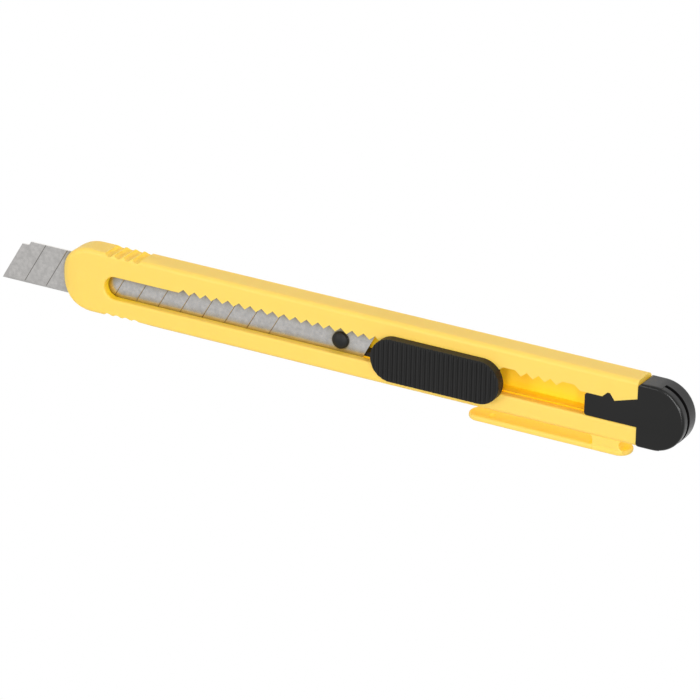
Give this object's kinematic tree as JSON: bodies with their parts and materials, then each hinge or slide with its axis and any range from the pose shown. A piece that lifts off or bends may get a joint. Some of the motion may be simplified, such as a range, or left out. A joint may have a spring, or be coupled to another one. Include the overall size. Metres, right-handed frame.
{
  "type": "snap-off utility knife",
  "caption": "Slim snap-off cutter: segmented slanted blade in a slotted handle with a ratcheting ribbed thumb slider, push-fit end cap with a snapping slot, and pocket clip.",
  "frame": {"origin": "on the handle's flat back face, on its centre line and near the middle of its length", "axes": "+X along the handle from the blade's tip to the end cap, +Y from the cutting edge to the spine, +Z out of the slotted front face"},
  "size_m": [0.1507, 0.0165, 0.0081],
  "materials": {
    "yellow_plastic": "semi-gloss moulded",
    "black_plastic": "satin moulded",
    "blade_steel": "ground"
  },
  "bodies": {
    "handle": {"handle": "yellow_plastic", "clip_bridge": "yellow_plastic"},
    "clip": {"pocket_clip": "yellow_plastic"},
    "slider": {"thumb_pad": "black_plastic", "blade_carrier": "black_plastic", "blade_segment_01": "blade_steel", "blade_segment_02": "blade_steel", "blade_segment_03": "blade_steel", "blade_segment_04": "blade_steel", "blade_segment_05": "blade_steel", "blade_segment_06": "blade_steel", "blade_segment_07": "blade_steel", "blade_segment_08": "blade_steel", "blade_segment_09": "blade_steel", "blade_segment_10": "blade_steel", "blade_segment_11": "blade_steel", "blade_segment_12": "blade_steel", "blade_tail": "blade_steel"},
    "pawl": {"pawl_spring": "black_plastic"},
    "cap": {"end_cap": "black_plastic", "cap_tongue": "black_plastic"}
  },
  "joints": [
    {"name": "slider_travel", "type": "slide", "parent": "handle", "child": "slider", "axis": [-1, 0, 0], "range_m": [-0.0175, 0.0425]},
    {"name": "pawl_flex", "type": "hinge", "parent": "slider", "child": "pawl", "pos_m": [0.0102, 0.00122, 0.00502], "axis": [0, 0, -1], "range_deg": [0, 5.8], "stiffness_Nm_per_rad": 0.004},
    {"name": "clip_flex", "type": "hinge", "parent": "handle", "child": "clip", "pos_m": [0.0533, -0.00915, 0.0029], "axis": [0, 0, 1], "range_deg": [0, 4.5], "stiffness_Nm_per_rad": 0.03},
    {"name": "cap_pull", "type": "slide", "parent": "handle", "child": "cap", "axis": [1, 0, 0], "range_m": [0, 0.013], "deforming": ["cap_tongue"]}
  ]
}
